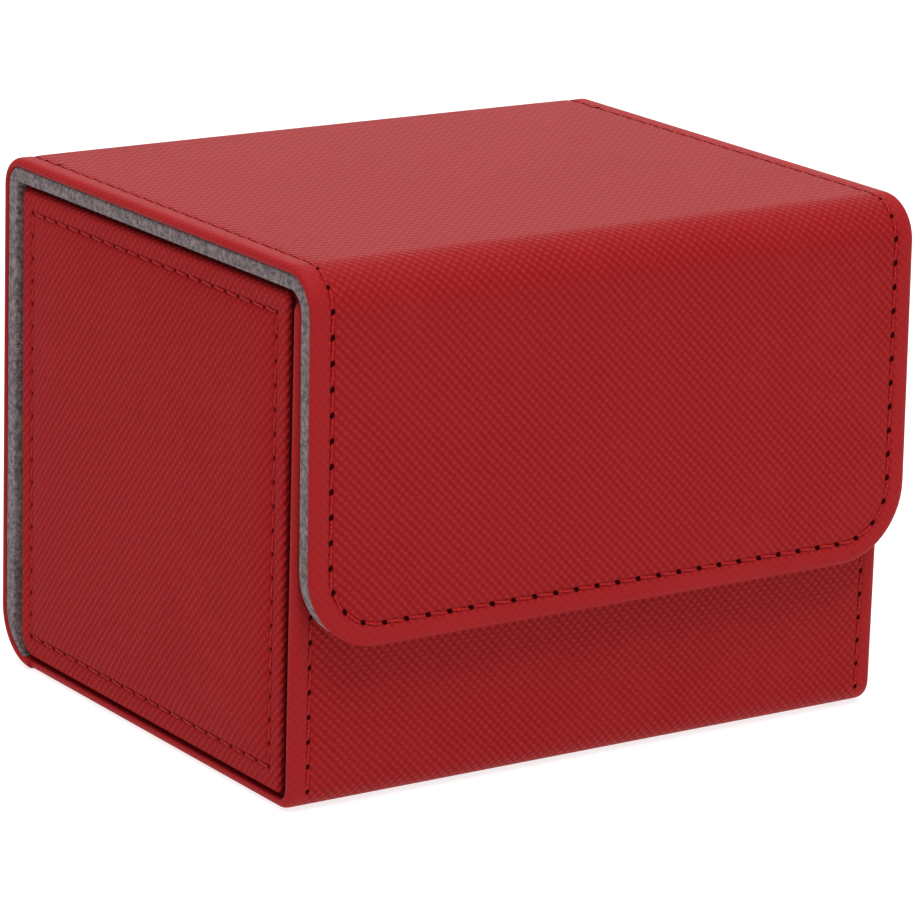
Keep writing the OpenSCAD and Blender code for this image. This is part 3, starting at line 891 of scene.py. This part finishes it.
wall = {"arris": 0.4, "heelRadius": 5.0, "rimRadius": 1.5, "cells": 10}
pad = {
    "border": 1.5,              # recessed wall that shows round the pad
    "low": 1.9, "top": 74.25,
    "radii": (1.5, 3.5, 1.5, 1.5),            # the lower rear corner is the round one
    "arris": 1.0,
    "bulge": 0.45,              # how far the foam lifts the middle
    "bulgeOver": 9.0,           # distance from the seam to its full height
    "sunk": 0.05,
    "rings": arris(1.0) + [1.5, 2.2, 2.65, 2.95, 3.15, 3.3, 3.45, 3.65, 3.95, 4.4, 5.2, 6.5, 8.5, 12.3],
    "cells": 12,
    "holeSize": 0.62,
}


def padLift(a, b, inset):
    away = np.clip(inset - seam["padInset"], 0, pad["bulgeOver"]) / pad["bulgeOver"]
    return pad["bulge"] * (1 - (1 - away) ** 2.2) + channelAt(inset - seam["padInset"], 1.1) - pad["sunk"]


wallPlan = {
    "a": (trayFront, trayBack), "b": (box["skin"], box["trayTop"]),
    "radii": (0, wall["heelRadius"], wall["rimRadius"], 0), "rings": arris(wall["arris"], 4) + [1.5, 5.0],
    "cols": wall["cells"], "rows": wall["cells"], "arris": wall["arris"], "underArris": 0.0,
    "lift": lambda a, b, inset: 0 * a, "under": lambda a, b, inset: -box["wallSkin"] + 0 * a,
}
padPlan = {
    "a": (trayFront + pad["border"], trayBack - pad["border"]), "b": (pad["low"], pad["top"]),
    "radii": pad["radii"], "rings": pad["rings"], "cols": pad["cells"], "rows": pad["cells"],
    "arris": pad["arris"], "underArris": 0.0,
    "lift": padLift, "under": lambda a, b, inset: -box["padHigh"] + 0 * a,
    "offSeam": lambda a, b, inset: inset - seam["padInset"],
}
y0, y1 = padPlan["a"][0] + seam["padInset"], padPlan["a"][1] - seam["padInset"]
z0, z1 = padPlan["b"][0] + seam["padInset"], padPlan["b"][1] - seam["padInset"]
padRuns = [[(y0, z0), (y1, z0)], [(y1, z0), (y1, z1)], [(y1, z1), (y0, z1)], [(y0, z1), (y0, z0)]]

for side, label in ((-1, "left"), (1, "right")):
    mirrored = side < 0
    wallFace, outerFace = onWall(side, wallX), onWall(side, wallX + box["padHigh"])
    wallSkin = slab(label + "WallSkin", wallPlan, wallFace, paints["shadedWallLeatherette"], flip=mirrored)
    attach(wallSkin, "tray")
    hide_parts(label + "_wall_skin")
    padSkin = slab(label + "Pad", padPlan, outerFace, paints["padLeatherette"], flip=mirrored)
    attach(padSkin, "tray")
    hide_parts(label + "_pad_skin")
    padSeam = sew(label + "PadSeam", padRuns, outerFace, surfaceOf(padPlan), seam["padPitch"],
                  lambda b: pad["holeSize"], "padNeedle", flip=mirrored)
    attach(padSeam, "tray")
    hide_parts(label + "_pad_stitching")
print("walls and pads in place")


inward = box["board"] + box["cloth"]
room = {
    "halfX": wallX - box["wallSkin"] - inward, "front": trayFront + inward, "back": trayBack - inward,
    "floor": box["skin"] + inward,
    "corner": 1.4, "tightest": 0.15, "cornerSteps": 8,
    # (distance outwards from the wall's face, height), from the floor up and over the rim, and back inside
    "profile": [(-6.0, 0.0), (-2.0, 0.02), (-1.0, 0.10), (-0.45, 0.35), (-0.12, 0.9), (0.0, 1.8), (0.0, 24.0),
                (0.0, 48.0), (0.0, 68.6), (0.03, 70.2), (0.14, 70.75), (0.45, 71.02), (1.2, 71.09),
                (1.9, 71.07), (2.35, 71.01), (2.52, 70.86), (2.54, 70.2), (2.5, 69.4), (1.9, 69.2),
                (0.6, 69.6), (0.3, 68.0), (0.3, 24.0), (0.3, 1.8), (0.0, 0.2), (-1.0, -0.35), (-6.0, -0.4)],
}


def roomLoop(out, up):
    steps = room["cornerSteps"]
    r = max(room["corner"] + (out if out < 0 else -0.45 * out), room["tightest"])
    x, y0, y1 = room["halfX"] + out - r, room["front"] - out + r, room["back"] + out - r
    loop = []
    for centreX, centreY, start in ((x, y1, 0), (-x, y1, 90), (-x, y0, 180), (x, y0, 270)):
        for k in range(steps + 1):
            turn = math.radians(start + 90 * k / steps)
            loop.append((centreX + r * math.cos(turn), centreY + r * math.sin(turn), room["floor"] + up))
    return loop


def roomLining():
    loops = [roomLoop(out, up) for out, up in room["profile"]]
    count = len(loops[0])
    last = (len(loops) - 1) * count
    faces = []
    for q in range(0, last, count):
        for i in range(count):
            j = (i + 1) % count
            faces.append([q + i, q + count + i, q + count + j, q + j])
    faces += [list(range(count)), [last + i for i in range(count)][::-1]]
    points = [spot for loop in loops for spot in loop]
    return makeObject("compartmentLining", points, faces, [paints["microfibre"]])


compartment = roomLining()
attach(compartment, "tray")
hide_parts("floor_lining", "left_wall_lining", "right_wall_lining", "front_wall_lining",
            "back_wall_lining")
print("compartment lined")


# seams of the cover, from one side of the lid round the flap to the other
def quarter(cornerA, cornerB, radius, start):
    turns = [math.radians(start + t) for t in range(5, 90, 5)]
    return [(cornerA + radius * math.cos(t), cornerB + radius * math.sin(t)) for t in turns]


edgeA, turnA = stripHalf - seam["inset"], stripHalf - cover["radius"]
turnB, turnRadius = lidFlapLength - cover["radius"], cover["radius"] - seam["inset"]
flapRun = [(edgeA, 0.0), (edgeA, turnB)] + quarter(turnA, turnB, turnRadius, 0)
flapRun += [(turnA, turnB + turnRadius), (-turnA, turnB + turnRadius)]
flapRun += quarter(-turnA, turnB, turnRadius, 90) + [(-edgeA, turnB), (-edgeA, 0.0)]
holes = {"lid": 0.55, "back": 0.75, "front": 0.8}                     # size beside the flap's holes
lidFlapSeam = sew("lidFlapSeam", [flapRun], onStrip(lidFlapPath), surfaceOf(lidFlapPlan), seam["pitch"],
                  lambda b: holes["lid"] + (1 - holes["lid"]) * float(pastCrease(b)), "needle", flip=True)
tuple(frontBend[0])
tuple(frontBend[1])
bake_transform(lidFlapSeam)
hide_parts("lid_stitching", "flap_stitching")

backRuns = [[(side * edgeA, 1.0), (side * edgeA, backLength)] for side in (-1, 1)]
backSeam = sew("backSeam", backRuns, onStrip(backPath), surfaceOf(backPlan), seam["pitch"],
               lambda b: holes["back"], "needle", flip=True)
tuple(rearBend[0])
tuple(rearBend[1])
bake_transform(backSeam)
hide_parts("back_stitching")

frontA = box["trayHalf"] - seam["frontInset"]
frontTo = frontPart + front["seamPast"]
frontRuns = [[(side * frontA, front["seamFrom"]), (side * frontA, frontTo)] for side in (-1, 1)]
frontSeam = sew("frontSeam", frontRuns, onStrip(frontPath), surfaceOf(frontPlan), seam["pitch"],
                lambda b: holes["front"], "needle", flip=True)
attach(frontSeam, "tray")
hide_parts("front_stitching")
print("seams sewn")


# parts that keep the shapes that model.glb gives them
keptPaints = {
    "board": ["base_board", "left_board", "right_board", "back_board", "front_board", "front_stiffener",
              "back_stiffener", "lid_stiffener", "flap_stiffener"],
    "foam": ["left_pad_foam", "right_pad_foam"],
    "magnet": ["tray_magnets", "flap_magnets"],
}
for paintName, nodes in keptPaints.items():
    for nodeName in nodes:
        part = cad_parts[nodeName]
        if not part.material_slots:
            part.data.materials.append(paints[paintName])
        for slot in part.material_slots:
            slot.link = "OBJECT"
            slot.material = paints[paintName]
print("boards, foam and magnets painted")


studio = {
    "lens": 190.34, "sensor": 36.0,
    "eye": (-389.84, -578.353, 228.841),      # millimetres
    "azimuth": 34.078, "elevation": 15.481, "roll": 1.627,
    "world": 0.42,
    "floorHalf": 6.0, "floorDrop": 0.0002, "floorGrey": 0.36, "floorGlow": 0.8,
    "suns": (("keyLight", (-0.10, -0.34, 0.93), 2.0, 40.0), ("topLight", (0.10, 0.25, 0.96), 1.2, 60.0)),
    "backSize": 1.3, "backPower": 5.0,        # pale grazing light on the lid
    "backAt": (0.86, 1.27, 0.52), "backTurn": (0.86, 1.27, 0.47),
}


def putInScene(name, data, place, facing=None):
    made = bpy.data.objects.new(name, data)
    made.location = place
    if facing is not None:
        made.rotation_euler = Vector(facing).to_track_quat("Z", "Y").to_euler()
    bpy.context.scene.collection.objects.link(made)
    return made


far = studio["floorHalf"]
floorMesh = bpy.data.meshes.new("floor")
floorMesh.from_pydata([(-far, -far, 0), (far, -far, 0), (far, far, 0), (-far, far, 0)], [], [(0, 1, 2, 3)])
grey = studio["floorGrey"]
floorMesh.materials.append(Paint("paleFloor").finish(colour=(grey, grey, grey, 1), rough=0.9, specular=0.0,
                                                     glow=(1, 1, 1, 1), glowPower=studio["floorGlow"]))
floor = putInScene("floor", floorMesh, (0, 0, -studio["floorDrop"]))

world = bpy.data.worlds.new("studio")
world.use_nodes = True
background = world.node_tree.nodes["Background"]
background.inputs[0].default_value = (1, 1, 1, 1)
background.inputs[1].default_value = studio["world"]
bpy.context.scene.world = world
bpy.context.scene.view_settings.view_transform = "Standard"

for name, direction, strength, spread in studio["suns"]:
    sunData = bpy.data.lights.new(name, "SUN")
    sunData.energy, sunData.angle = strength, math.radians(spread)
    putInScene(name, sunData, [0.5 * part for part in direction], direction)
backData = bpy.data.lights.new("backLight", "AREA")
backData.shape, backData.size, backData.energy = "SQUARE", studio["backSize"], studio["backPower"]
putInScene("backLight", backData, studio["backAt"], studio["backTurn"])

azimuth, elevation, roll = (math.radians(studio[key]) for key in ("azimuth", "elevation", "roll"))
ahead = Vector((math.sin(azimuth) * math.cos(elevation), math.cos(azimuth) * math.cos(elevation),
                -math.sin(elevation)))
right = ahead.cross(Vector((0, 0, 1))).normalized()
upward = right.cross(ahead)
rolledRight = right * math.cos(roll) + upward * math.sin(roll)
rolledUp = upward * math.cos(roll) - right * math.sin(roll)
cameraData = bpy.data.cameras.new("camera")
cameraData.lens, cameraData.sensor_width = studio["lens"], studio["sensor"]
cameraData.sensor_fit = "HORIZONTAL"
cameraData.clip_start, cameraData.clip_end = 0.01, 50
camera = putInScene("camera", cameraData, (0, 0, 0))
eyeRows = [(rolledRight[k], rolledUp[k], -ahead[k], studio["eye"][k] * mm) for k in range(3)]
camera.matrix_world = Matrix(eyeRows + [(0, 0, 0, 1)])
bpy.context.scene.camera = camera
print("studio lit")
